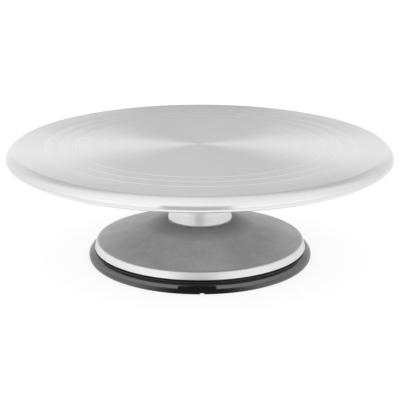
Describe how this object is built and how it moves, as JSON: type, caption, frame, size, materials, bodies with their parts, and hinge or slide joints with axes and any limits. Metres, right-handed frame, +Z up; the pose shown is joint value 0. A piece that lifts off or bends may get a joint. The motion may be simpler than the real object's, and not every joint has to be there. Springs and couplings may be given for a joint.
{
  "type": "cake turntable",
  "caption": "Low round cake decorating turntable: flat turned aluminium plate with a rolled rim and guide rings, spinning on ball bearings over a conical cast base with a rubber foot ring.",
  "frame": {"origin": "centre of the rubber ring's foot, on the surface that the turntable stands on", "axes": "+Z up along the spindle, which the plate turns about; -Y is the side with the rubber ring's vent notch"},
  "size_m": [0.3175, 0.3176, 0.098],
  "materials": {
    "plate_aluminium": "turned, with a fine concentric lathe finish",
    "hub_aluminium": "satin turned",
    "cast_base": "matt grey sand-cast cone with a machined bright rim",
    "black_rubber": "smooth black, half gloss",
    "seal_rubber": "matt dark brown",
    "bearing_steel": "ground and polished",
    "shield_steel": "pressed sheet",
    "cage_brass": "satin",
    "spindle_steel": "ground",
    "spring_steel": "blackened",
    "zinc_steel": "zinc plated"
  },
  "bodies": {
    "base": {"base_casting": "cast_base", "non_slip_ring": "black_rubber", "spindle": "spindle_steel", "spindle_washer": "zinc_steel", "spring_washer": "spring_steel", "spindle_nut": "zinc_steel", "lower_inner_race": "bearing_steel", "upper_inner_race": "bearing_steel", "inner_spacer": "spindle_steel", "spindle_clip": "spring_steel"},
    "turntable": {"turntable_plate": "plate_aluminium", "plate_hub": "hub_aluminium", "hub_screw_1": "zinc_steel", "hub_screw_2": "zinc_steel", "hub_screw_3": "zinc_steel", "hub_screw_4": "zinc_steel", "hub_screw_5": "zinc_steel", "hub_screw_6": "zinc_steel", "lower_outer_race": "bearing_steel", "upper_outer_race": "bearing_steel", "outer_spacer": "spindle_steel", "lower_shield_top": "shield_steel", "lower_shield_bottom": "shield_steel", "upper_shield_top": "shield_steel", "upper_shield_bottom": "shield_steel", "hub_clip": "spring_steel", "dust_seal": "seal_rubber"},
    "lower_ball_train": {"lower_cage": "cage_brass", "lower_ball_1": "bearing_steel", "lower_ball_2": "bearing_steel", "lower_ball_3": "bearing_steel", "lower_ball_4": "bearing_steel", "lower_ball_5": "bearing_steel", "lower_ball_6": "bearing_steel", "lower_ball_7": "bearing_steel", "lower_ball_8": "bearing_steel"},
    "upper_ball_train": {"upper_cage": "cage_brass", "upper_ball_1": "bearing_steel", "upper_ball_2": "bearing_steel", "upper_ball_3": "bearing_steel", "upper_ball_4": "bearing_steel", "upper_ball_5": "bearing_steel", "upper_ball_6": "bearing_steel", "upper_ball_7": "bearing_steel", "upper_ball_8": "bearing_steel"}
  },
  "joints": [
    {"name": "plate_spin", "type": "hinge", "parent": "base", "child": "turntable", "pos_m": [0, 0, 0.066], "axis": [0, 0, 1], "continuous": true},
    {"name": "lower_cage_spin", "type": "hinge", "parent": "base", "child": "lower_ball_train", "pos_m": [0, 0, 0.0563], "axis": [0, 0, 1], "continuous": true},
    {"name": "upper_cage_spin", "type": "hinge", "parent": "base", "child": "upper_ball_train", "pos_m": [0, 0, 0.076], "axis": [0, 0, 1], "continuous": true}
  ],
  "couplings": [
    {"joint": "lower_cage_spin", "follows": "plate_spin", "ratio": 0.6182},
    {"joint": "upper_cage_spin", "follows": "plate_spin", "ratio": 0.6182}
  ]
}
